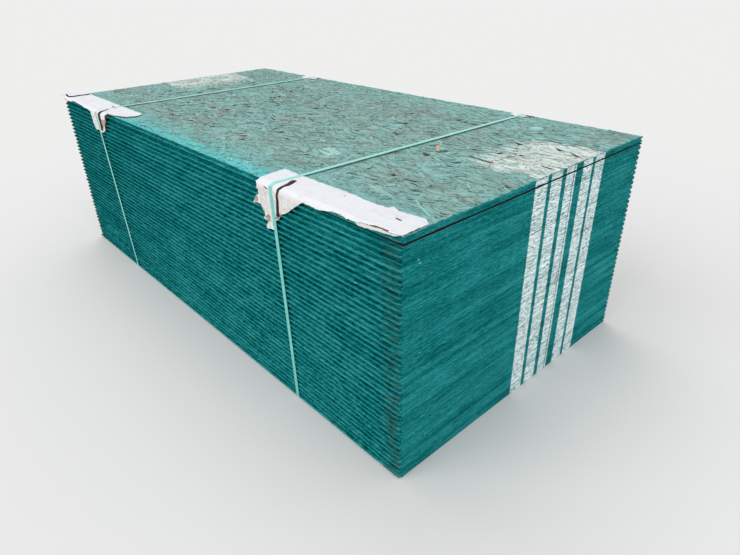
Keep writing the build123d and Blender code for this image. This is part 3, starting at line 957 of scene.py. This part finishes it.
def weathered_paint(mm, tone, lines, bands, chance):
    """Colour of the top face: a thin green wash on grey strands, sealer overspray and white patches."""
    fade = grain(mm, (0.0035, 0.005, 0.0), 3, 0.55, 4.0)
    patch = grain(mm, (0.012, 0.03, 0.0), 3, 0.6, 6.0)
    mottle = grain(mm, (0.02, 0.045, 0.0), 3, 0.7, 14.0)
    x = split(mm)[0]
    value = tone * 0.46 + (lines * 0.85 - 0.13) + (bands * 0.44 - 0.22) + (mottle * 0.9 - 0.43)
    wash = shades(value, [
        (0.0, (0.075, 0.14, 0.13)),
        (0.2, (0.16, 0.29, 0.27)),
        (0.45, (0.230, 0.425, 0.397)),
        (0.75, (0.265, 0.510, 0.480)),
        (1.0, (0.37, 0.64, 0.61)),
    ])
    grey = shades(value, [
        (0.0, (0.11, 0.13, 0.105)),
        (0.4, (0.235, 0.285, 0.245)),
        (1.0, (0.39, 0.45, 0.395)),
    ])
    bare = smooth_step(patch * 1.5 + (fade * 1.4 + (chance * 0.5 - 1.55)), 0.0, 0.5)
    colour = blend(bare * 0.62, wash, grey)
    brown = smooth_step(chance, 0.975, 0.985) * smooth_step(fade, 0.40, 0.55)
    colour = blend(brown * 0.5, colour, (0.17, 0.12, 0.085))

    # sealer sprayed over the borders: a wide thin mist, and a bright band that ends before the corner
    mist = use_group(EDGE_SPRAY, mm, Front_Band=165.0, Other_Band=16.0)[0]
    colour = blend(mist * 0.6, colour, (0.165, 0.48, 0.465))
    band = use_group(EDGE_SPRAY, mm, Front_Band=62.0, Other_Band=1.5)[0]
    band = band * (value * 0.6 + 0.55) * (1.0 - smooth_step(x, *BAND_END))
    colour = blend(calc("MINIMUM", band, 0.92), colour, (0.13, 0.58, 0.59))

    # white overspray at both ends, creamy or greenish in places
    near = use_group(SPRAY_PATCH, mm, Clear_X=750.0, Full_X=1060.0, Low_Y=-60.0, High_Y=345.0, Cover=0.95)[0]
    far = use_group(SPRAY_PATCH, mm, Clear_X=-700.0, Full_X=-1070.0, Low_Y=-95.0, High_Y=370.0, Cover=0.76)[0]
    white = shades(value, [
        (0.0, (0.20, 0.27, 0.245)),
        (0.3, (0.49, 0.60, 0.565)),
        (0.55, (0.68, 0.79, 0.755)),
        (1.0, (0.86, 0.94, 0.905)),
    ])
    white = blend(smooth_step(patch, 0.45, 0.58) * 0.68, white, (0.76, 0.72, 0.655))
    white = blend(smooth_step(fade, 0.53, 0.43) * 0.15, white, (0.38, 0.64, 0.60))
    colour = blend(calc("MAXIMUM", near, far), colour, white)

    # cracks along the borders of two sets of strands, painted dark as the shade inside them, each with its
    # turn, strand size, seed and bare share
    for turn, size, seed, open_share in ((0.12, (46.0, 11.0), 31.0, 0.53), (-0.6, (34.0, 14.0), 47.0, 0.56)):
        crack = 1.0 - smooth_step(strand_pattern(mm, turn, size, seed)[2], 0.035, 0.11)
        where = grain(mm, (0.028, 0.05, 0.0), 3, 0.65, seed)
        crack = crack * smooth_step(where, open_share, open_share + 0.07)
        colour = blend(crack * 0.8, colour, (0.040, 0.045, 0.036))

    # the rim's splintered edge shows sealer from above
    splinter = grain(mm, (0.0, 0.08, 0.0), 3, 0.7, 12.0) * 26.0 + abs(x)
    return blend(smooth_step(splinter, HALF_LENGTH + 9.5, HALF_LENGTH + 11.0), colour, (0.012, 0.20, 0.19))


def weathered_base_material():
    """The top sheet's own surface, seen between its strands: darker, with strand-shaped cells."""
    material, shader = start_material("weathered_top", 0.8, 0.1)
    mm = stack_place(material)
    one, pick, edge = strand_pattern(mm, 0.1, (85.0, 15.0), 5.0)
    lines = grain(mm, (0.03, 0.9, 0.0), 3, 0.6)
    colour = weathered_paint(mm, one * 0.55, lines, pick, one)
    # the borders of the strand-shaped cells are painted dark as the shade between strands
    gap = 1.0 - smooth_step(edge, 0.0, 0.06)
    colour = blend(gap * 0.6, colour, (0.05, 0.06, 0.05))
    # the top sheet's underside is painted dark as the shade of the gap below its rim
    under = 1.0 - smooth_step(split(mm)[2], TOP_BASE + 6.0, TOP_BASE + 9.0)
    set_inputs(shader, {
        "Base Color": blend(under * 0.9, colour, GAP_DARK),
        "Normal": bump(lines * 0.4 + one * 0.6, 0.6, 0.0006),
    })
    return material


def weathered_strand_material():
    """Painted, weathered top of a strand, its grain along the strand's own UV."""
    material, shader = start_material("weathered_strand", 0.72, 0.12)
    uv = along_strand(material)
    lines, bands = use_group(STRAND_GRAIN, uv)
    tone, chance = [
        add_node(uv.tree, "ShaderNodeAttribute", output="Fac", attribute_name=key)
        for key in ("tone", "chance")
    ]
    colour = weathered_paint(stack_place(material), tone, lines, bands, chance)
    # splits along the strand's grain, with the shade inside them painted dark
    split_line = abs(grain(uv, (15.0, 90.0, 1.0), 2, 0.5, 17.0) - 0.5)
    where = grain(uv, (9.0, 30.0, 1.0), 1, 0.5, 23.0)
    crack = (1.0 - smooth_step(split_line, 0.006, 0.022)) * smooth_step(where, 0.46, 0.58)
    set_inputs(shader, {
        "Base Color": blend(crack * 0.75, colour, (0.045, 0.055, 0.045)),
        "Normal": bump(crack * -0.8 + (lines * 0.7 + bands * 0.4), 0.55, 0.0005),
    })
    return material


def strand_shade_material():
    """Broken edges and undersides of strands: weathered wood grain, painted near-black as the shade on these
    edges and undersides.
    """
    material, shader = start_material("strand_shade", 0.85, 0.1)
    lines = use_group(STRAND_GRAIN, along_strand(material))[0]
    set_inputs(shader, {"Base Color": blend(lines, (0.022, 0.022, 0.018), (0.075, 0.085, 0.07))})
    return material


def bare_wood_material(name, dark, light):
    """A loose flake of wood with grain along its UV."""
    material, shader = start_material(name, 0.75, 0.15)
    lines, bands = use_group(STRAND_GRAIN, along_strand(material))
    share = lines * 0.7 + (bands * 0.6 - 0.15)
    set_inputs(shader, {"Base Color": blend(share, dark, light), "Normal": bump(lines, 0.5, 0.0004)})
    return material


def paper_material(name, colour, hanging, stain, stain_cover):
    """Board paper: colour on top and hanging below the fold, with fibres and stains, and creases painted dark
    as their shade.
    """
    material, shader = start_material(name, 0.8, 0.1)
    uv = along_strand(material)
    fibre = grain(uv, (160.0, 420.0, 1.0), 4, 0.6)
    cloud = grain(uv, (30.0, 42.0, 1.0), 4, 0.62, 5.0)
    ridge = abs(grain(uv, (85.0, 34.0, 1.0), 2, 0.45, 9.0) - 0.5)
    # the stains grow heavier below the fold, partly as real stains and partly as painted shade of the hanging
    # paper
    over = smooth_step(split(stack_place(material))[2], RIM_TOP - 24.0, RIM_TOP - 9.0)
    worn = smooth_step(fibre * 0.6 + (cloud * 1.1 - 0.80), 0.0, 0.35) * (over * -0.6 + 1.0)
    # crease lines painted dark as the shade in the creases, more below the fold
    crease_shade = (1.0 - smooth_step(ridge, 0.004, 0.05)) * (over * -0.62 + 0.7)
    share = calc("MAXIMUM", worn, crease_shade) * stain_cover
    set_inputs(shader, {
        "Base Color": blend(share, blend(over, hanging, colour), stain),
        "Normal": bump(cloud * 0.6 + ridge * (over * -2.6 + 3.0), 0.9, 0.005),
    })
    return material


def strap_material():
    """Glossy mint plastic strap with light scuffs, painted lighter where it crosses the top as the sky's
    sheen there.
    """
    material, shader = start_material("strap_plastic", 0.2, 1.0)
    mm = stack_place(material)
    x, y, z = split(mm)
    scuff = grain(mm, (0.6, 0.05, 0.05), 3, 0.65)
    tone = grain(mm, (0.02, 0.02, 0.02), 3, 0.6) * 0.6 + (scuff * 0.6 - 0.1)
    deep = shades(tone, [
        (0.0, (0.06, 0.40, 0.35)),
        (0.5, (0.11, 0.54, 0.485)),
        (1.0, (0.26, 0.74, 0.67)),
    ])
    sky_sheen = shades(tone, [
        (0.0, (0.20, 0.56, 0.49)),
        (0.5, (0.30, 0.74, 0.66)),
        (1.0, (0.46, 0.88, 0.82)),
    ])
    # on top the strap is painted lighter and on its sides darker, as painted sheen and shade
    on_top = smooth_step(z, RIM_TOP - 8.0, RIM_TOP)
    colour = blend(on_top, deep, sky_sheen)

    # the far strap is painted near white where it lies on its board, as the sky's reflection there
    on_board = on_top * (1.0 - smooth_step(y, -HALF_WIDTH + 45.0, -HALF_WIDTH + 95.0))
    on_board = on_board * calc("LESS_THAN", x, 0.0)
    set_inputs(shader, {
        "Base Color": blend(on_board * 0.85, colour, (0.80, 0.86, 0.86)),
        "Roughness": scuff * 0.2 + 0.12,
        "Normal": bump(scuff, 0.4, 0.0003),
    })
    return material


def floor_material():
    """Plain pale floor."""
    material, shader = start_material("plain_floor", 0.9, 0.0)
    shader.inputs["Base Color"].default_value = (0.80, 0.79, 0.78, 1)
    return material


SEALED = sealed_edge_material()
RAW = raw_face_material()
WEATHERED = weathered_base_material()
STRAND = weathered_strand_material()
STRAND_SHADE = strand_shade_material()
TAN_WOOD = bare_wood_material("tan_flake", (0.42, 0.30, 0.18), (0.66, 0.52, 0.36))
BROWN_WOOD = bare_wood_material("brown_chunk", (0.05, 0.03, 0.022), (0.20, 0.115, 0.07))
PALE_WOOD = bare_wood_material("pale_chip", (0.42, 0.50, 0.46), (0.70, 0.78, 0.75))
MINT_WOOD = bare_wood_material("mint_chip", (0.30, 0.55, 0.51), (0.42, 0.68, 0.63))

# Papers in make_board's order: colour on top, colour hanging, stain, and how much the stain covers. The face
# paper is bluer on top as painted sky light, and paper_shade is painted shade
PAPERS = [
    paper_material("paper_face", (0.80, 0.81, 0.845), (0.80, 0.80, 0.775), (0.44, 0.38, 0.345), 0.6),
    paper_material("paper_core", (0.16, 0.10, 0.075), (0.52, 0.40, 0.35), (0.06, 0.035, 0.025), 0.9),
    paper_material("paper_back", (0.66, 0.65, 0.63), (0.70, 0.68, 0.64), (0.34, 0.27, 0.22), 0.6),
    paper_material("paper_shade", (0.050, 0.036, 0.030), (0.045, 0.026, 0.021), (0.02, 0.013, 0.010), 0.8),
]
STRAP = strap_material()

# The sheets
for layer in range(TOP_LAYER):
    make_sheet(layer, [SEALED, RAW])
make_sheet(TOP_LAYER, [SEALED, WEATHERED], spacing=20.0, across_top=64, across_bottom=10)

# Where the straps cross the top's long edges
NEAR_STRAP = HALF_LENGTH - 527.0
FAR_STRAP = -HALF_LENGTH + 472.0
NEAR_STRAP_BACK = HALF_LENGTH - 497.0
FAR_STRAP_BACK = -HALF_LENGTH + 525.0

# Outlines of the boards: (along X from the strap, in over the top, or below 0 down the side)
NEAR_OUTLINE = [
    (-76, 0), (-89, 99), (3, 96), (192, 99), (318, 95), (375, 98), (380, 115), (409, 102),
    (496, 112), (518, 93), (521, 3), (499, -1), (480, -2), (456, -1), (432, -3), (404, -3),
    (378, -5), (349, -6), (320, -5), (292, -5), (256, -8), (213, -12), (160, -12), (146, -16),
    (109, -42), (73, -64), (41, -82), (25, -101), (5, -108), (3, -141), (-11, -144), (-45, -149),
    (-45, -139), (-33, -129), (-38, -123), (-58, -118), (-44, -104), (-59, -92), (-62, -76),
    (-71, -74), (-105, -80), (-92, -60), (-71, -45), (-70, -31), (-84, -30), (-74, -8),
]
NEAR_SKIRT = [
    *NEAR_OUTLINE[:11], (503, -3), (456, -5), (432, -7), (404, -8), (384, -9), (374, -6), *NEAR_OUTLINE[19:],
]
NEAR_BARE = [
    [(-98, -75), (-92, -60), (-80, -52), (-74, -60), (-79, -71)],
    [(-92, -30), (-88, -6), (-82, 8), (-74, 6), (-76, -6), (-72, -16), (-76, -24), (-70, -30), (-76, -44)],
    [(-76, -76), (-60, -74), (-50, -88), (-44, -96), (-60, -104)],
    [(8, -142), (-2, -120), (6, -104), (28, -99), (44, -80), (40, -74), (24, -92), (10, -98), (-6, -104),
     (-8, -128)],
    [(-52, -146), (-46, -132), (-26, -124), (-18, -118), (-16, -100), (-30, -98), (-44, -112),
     (-36, -118), (-50, -130)],
    [(380, -14), (383, -4), (410, -2), (441, 0), (480, 1), (480, -14)],
    [(-76, -92), (-52, -90), (-44, -100), (-42, -112), (-66, -118)],
]
NEAR_GAPS = [
    [(33, 60), (38, 48), (46, 34), (52, 15), (50, -2), (44, -10), (37, -22), (37, -45), (35, -68), (33, -90),
     (15, -93), (19, -72), (22, -50), (26, -24), (30, -14), (37, 3), (29, 26), (18, 46), (19, 56)],
    [(226, 76), (232, 78), (234, 73), (228, 72)],
    [(432, 67), (457, 66), (462, 59), (440, 61)],
    [(-42, -12), (-26, -13), (-12, -18), (-24, -19)],
]
FAR_OUTLINE = [
    (-519, 5), (-519, 110), (-470, 112), (-270, 110), (-62, 108), (234, 107), (255, 96), (262, 70),
    (242, 35), (170, 8), (112, 0), (110, -16), (106, -34), (82, -52), (78, -73), (45, -91),
    (12, -95), (-9, -88), (-54, -91), (-66, -64), (-69, -25), (-70, -9), (-128, -7), (-187, -6),
    (-254, -4), (-322, -3), (-352, -6), (-387, -7), (-428, -7), (-472, -5), (-512, -1),
]
FAR_BARE = [[(50, -30), (108, -24), (108, -44), (78, -50), (60, -76), (52, -60)]]
FAR_GAPS = [
    [(10, 40), (20, 43), (40, 24), (56, 3), (58, -6), (54, -24), (50, -44), (54, -62), (49, -84),
     (20, -85), (24, -60), (22, -38), (24, -14), (30, -2), (34, 6), (24, 26)],
    [(-32, 76), (-30, 83), (-11, 76), (-11, 69)],
    [(12, 60), (16, 74), (25, 79), (23, 62)],
]
FAR_SHADE = [
    [(104, 0), (128, 2), (126, -18), (120, -34), (96, -54), (92, -80), (70, -86), (76, -52)],
    [(108, -4), (118, -6), (176, 0), (248, 24), (272, 62), (262, 84), (240, 50), (170, 14)],
]
FAR_FOLD = [
    (-506, 14), (-519, 38), (-519, 109), (-480, 110), (-425, 107), (-421, 80), (-427, 52), (-423, 24),
    (-431, 6), (-480, 8),
]
FAR_LIFT = [(-521, 6.8), (-470, 0.0), (0, 0.0)]
FAR_COVER = [(-521, 9.6), (-512, 12.0), (-501, 13.6), (-453, 10.8), (-421, 7.0)]
BACK_NEAR_OUTLINE = [
    (-50, 0), (-44, 38), (-8, 47), (22, 40), (48, 30), (52, 0), (47, -55), (12, -74), (-30, -66),
]
BACK_NEAR_BARE = [[(16, -4), (20, 30), (60, 26), (60, -6)]]
BACK_FAR_OUTLINE = [
    (-80, 0), (-66, 50), (-20, 62), (20, 52), (60, 34), (66, 0), (58, -60), (2, -82), (-52, -70),
]
BACK_FAR_BARE = [[(40, -6), (36, 24), (72, 30), (74, -4)]]

make_board("edge_board_front_near", NEAR_STRAP, NEAR_OUTLINE, NEAR_BARE, NEAR_GAPS, NEAR_SKIRT, seed=3)
make_board("edge_board_front_far", FAR_STRAP, FAR_OUTLINE, FAR_BARE, FAR_GAPS,
           shade=FAR_SHADE, fold=(FAR_FOLD, FAR_LIFT, FAR_COVER), seed=13)
make_board("edge_board_back_near", NEAR_STRAP_BACK, BACK_NEAR_OUTLINE, BACK_NEAR_BARE, front=False, seed=23)
make_board("edge_board_back_far", FAR_STRAP_BACK, BACK_FAR_OUTLINE, BACK_FAR_BARE, front=False, seed=33)

# Straps keep their solid shape
for name in ("strap_near", "strap_far"):
    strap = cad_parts[name]
    strap.data.materials.clear()
    strap.data.materials.append(STRAP)


# Steps of an even, unrepeating spread: powers of the plastic number. It keeps off the top's outline.
SPREAD_STEPS = (0.7548776662466927, 0.5698402909980532)
SPREAD_INSET = 2

# Cover over the loose strands: a strap's half width, the boards' reach, and the front boards' facing ends
STRAP_COVER = 12
BOARD_COVER = 118
NEAR_BOARD_END = NEAR_STRAP - 85
FAR_BOARD_END = FAR_STRAP + 285


def scattered(count, seed):
    """Even, unrepeating places over the top sheet, as x and y."""
    n = np.arange(count) + seed
    spans = (SHEET_LENGTH - 2 * SPREAD_INSET, FACE_WIDTH - 2 * SPREAD_INSET)
    return [((0.5 + n * step) % 1.0 - 0.5) * span for step, span in zip(SPREAD_STEPS, spans)]


def draws(rng, count, *ranges):
    """Random values for count strands, an array for each (low, high)."""
    return [rng.uniform(low, high, count) for low, high in ranges]


def under_cover(x, y, reach):
    """Places within reach of a strap or a board."""
    share = (y + HALF_WIDTH) / FACE_WIDTH
    near = NEAR_STRAP + (NEAR_STRAP_BACK - NEAR_STRAP) * share
    far = FAR_STRAP + (FAR_STRAP_BACK - FAR_STRAP) * share
    strap = np.minimum(np.abs(x - near), np.abs(x - far)) < reach + STRAP_COVER
    beside = (x > NEAR_BOARD_END - reach) | (x < FAR_BOARD_END + reach)
    return strap | beside & (y < -HALF_WIDTH + BOARD_COVER + reach)


# Flat strands that cover the top sheet
rng = np.random.default_rng(41)
askew = rng.uniform(0, 1, FLAT_COUNT) >= 0.70
swing = rng.normal(0, 0.35, FLAT_COUNT)
swing = np.where(askew, rng.uniform(-1.5, 1.5, FLAT_COUNT), swing)
length, width, height, tone = draws(rng, FLAT_COUNT, (40, 120), (8, 28), (0.05, 0.95), (0, 1))
strand_layer("flat_strands", [*scattered(FLAT_COUNT, 0), swing, length, width, height, 0.0, tone],
             [STRAND, STRAND_SHADE], 4, 42)

# Strands that the weather has lifted at one end
x, y = scattered(LIFTED_COUNT, 7000)
rng = np.random.default_rng(51)
swing = rng.normal(0, 0.5, LIFTED_COUNT) + np.where(rng.uniform(0, 1, LIFTED_COUNT) < 0.5, math.pi, 0)
length, lift, width, height, tone = draws(
    rng, LIFTED_COUNT, (28, 95), (0.15, 1.0), (5, 20), (0.9, 1.4), (0.2, 1))
curl = lift ** 3 * np.where(dish(x, y) > 1.0, 1.3, 4.2)
keep = ~under_cover(x, y, 0.5 * length)
strand_layer("lifted_strands", [v[keep] for v in (x, y, swing, length, width, height, curl, tone)],
             [STRAND, STRAND_SHADE], 7, 52)


def loose_piece(name, start, end, width, height, curl, material, seed):
    """One loose flake lying on the top sheet from start to end."""
    (x0, y0), (x1, y1) = start, end
    place = [(x0 + x1) / 2, (y0 + y1) / 2, math.atan2(y1 - y0, x1 - x0), math.hypot(x1 - x0, y1 - y0)]
    strand_layer(name, [*place, width, height, curl, 0.5], [material, material], 9, seed)


loose_piece("tan_flake", (756, 36), (820, -34), 12.0, 2.0, 1.6, TAN_WOOD, 61)
loose_piece("brown_chunk", (792, -70), (822, -92), 17.0, 2.2, 3.2, BROWN_WOOD, 62)
loose_piece("pale_chip_a", (434, -548), (458, -544), 7.0, 1.4, 0.8, PALE_WOOD, 64)
loose_piece("pale_chip_b", (372, -566), (392, -568), 5.0, 1.3, 0.6, PALE_WOOD, 65)
loose_piece("long_splinter", (1074, -411), (1183, -474), 4.0, 1.5, 1.2, MINT_WOOD, 66)


def pale_patch(name, start, end, width, seed):
    """Four flat strands side by side from start to end that have weathered paler."""
    (x0, y0), (x1, y1) = start, end
    turn = math.atan2(y1 - y0, x1 - x0)
    side = (np.arange(4) - 1.5) * width / 4
    length = math.hypot(x1 - x0, y1 - y0) * np.array([0.85, 1.05, 0.95, 0.8])
    strand_layer(name, [
        (x0 + x1) / 2 - side * math.sin(turn), (y0 + y1) / 2 + side * math.cos(turn),
        turn + np.array([0.06, -0.05, 0.03, -0.04]), length, width * 0.3, 1.1, 0.0, 0.5,
    ], [MINT_WOOD, STRAND_SHADE], 7, seed)


pale_patch("mint_patch_a", (858, 452), (906, 456), 44.0, 63)
pale_patch("mint_patch_b", (502, -264), (600, -296), 56.0, 67)

# The largest cracks, where a strand has torn out: a flat sliver painted near-black as the shade in its bed,
# and a strand curled up beside it: (start, end, width)
CRACKS = [
    ((914, 256), (966, 226), 13.0), ((1060, 280), (1114, 246), 15.0), ((1136, 260), (1186, 220), 10.0),
    ((912, 6), (1024, -10), 9.0), ((872, -292), (890, -310), 11.0), ((1074, -184), (1098, -200), 10.0),
    ((1180, -154), (1196, -168), 9.0), ((-452, -392), (-394, -404), 12.0), ((-60, -120), (14, -148), 10.0),
    ((118, -40), (206, -52), 9.0), ((402, 180), (470, 172), 12.0), ((520, 60), (560, 30), 9.0),
    ((-300, 60), (-236, 44), 12.0), ((612, 352), (680, 340), 10.0), ((-690, 40), (-640, 30), 9.0),
    ((1150, 66), (1190, 60), 7.0), ((990, 130), (1050, 118), 8.0), ((1010, 336), (1060, 330), 7.0),
    ((-312, -586), (-266, -578), 7.0), ((-80, -552), (-56, -534), 5.0), ((926, -306), (973, -301), 8.0),
    ((1000, -263), (1011, -233), 7.0), ((1023, -189), (1037, -167), 7.0), ((1183, -437), (1198, -433), 6.0),
    ((1110, -382), (1127, -363), 4.0), ((1010, -384), (1025, -358), 5.0),
]
for number, (start, end, width) in enumerate(CRACKS, 1):
    loose_piece(f"crack_shade_{number:02d}", start, end, width, 1.0, 0.7, STRAND_SHADE, 70 + number)
    side = width * 0.55
    loose_piece(f"torn_strand_{number:02d}", (start[0] - 4, start[1] + side), (end[0] + 6, end[1] + side + 2),
                0.7 * width, 1.5, 1.4, STRAND, 120 + number)

# Floor, light and camera: sizes in metres
FLOOR_SIZE = 160.0
SKY_STRENGTH = 0.65
VIEW_LIMIT = 500.0
bpy.ops.mesh.primitive_plane_add(size=FLOOR_SIZE, location=(0, 0, 0))
floor = bpy.context.object
floor.name = "floor"
floor.data.materials.append(floor_material())

world = bpy.data.worlds.new("soft_sky")
bpy.context.scene.world = world
world.use_nodes = True
background = world.node_tree.nodes["Background"]
background.inputs["Color"].default_value = (0.97, 0.99, 1.0, 1)
background.inputs["Strength"].default_value = SKY_STRENGTH


def soft_sun(name, towards, strength, spread):
    """A wide soft light that shines from the direction towards."""
    data = bpy.data.lights.new(name, "SUN")
    data.energy = strength
    data.angle = math.radians(spread)
    light = bpy.data.objects.new(name, data)
    light.rotation_mode = "QUATERNION"
    light.rotation_quaternion = (-Vector(towards)).to_track_quat("-Z", "Y")
    bpy.context.scene.collection.objects.link(light)


soft_sun("key_light", (-0.55, 0.25, 1.0), 0.6, 40)
soft_sun("front_light", (-0.25, -0.85, 0.60), 1.0, 50)
soft_sun("end_light", (0.90, -0.30, 0.50), 0.7, 60)

# Pinhole solved from the photograph: sizes in pixels, place in millimetres, turns in radians
PHOTO_WIDTH = 740
FOCAL = 558.8655
SENSOR_WIDTH = 36.0
EYE = np.array([2035.695, -1433.925, 1318.622])
YAW, PITCH, ROLL = 2.4149809, -0.5032577, -0.0249710
ahead = np.array([math.cos(PITCH) * math.cos(YAW), math.cos(PITCH) * math.sin(YAW), math.sin(PITCH)])
right = np.cross(ahead, [0, 0, 1])
right /= np.linalg.norm(right)
down = np.cross(ahead, right)
across = math.cos(ROLL) * right - math.sin(ROLL) * down
down = math.sin(ROLL) * right + math.cos(ROLL) * down
camera_data = bpy.data.cameras.new("camera")
camera_data.sensor_width = SENSOR_WIDTH
camera_data.sensor_fit = "HORIZONTAL"
camera_data.lens = FOCAL / PHOTO_WIDTH * SENSOR_WIDTH
camera_data.clip_end = VIEW_LIMIT
camera = bpy.data.objects.new("camera", camera_data)
bpy.context.scene.collection.objects.link(camera)
columns = np.stack([across, -down, -ahead, EYE * MM + ORIGIN], 1)
camera.matrix_world = Matrix([*columns.tolist(), [0, 0, 0, 1]])
bpy.context.scene.camera = camera
bpy.context.scene.view_settings.view_transform = "Standard"
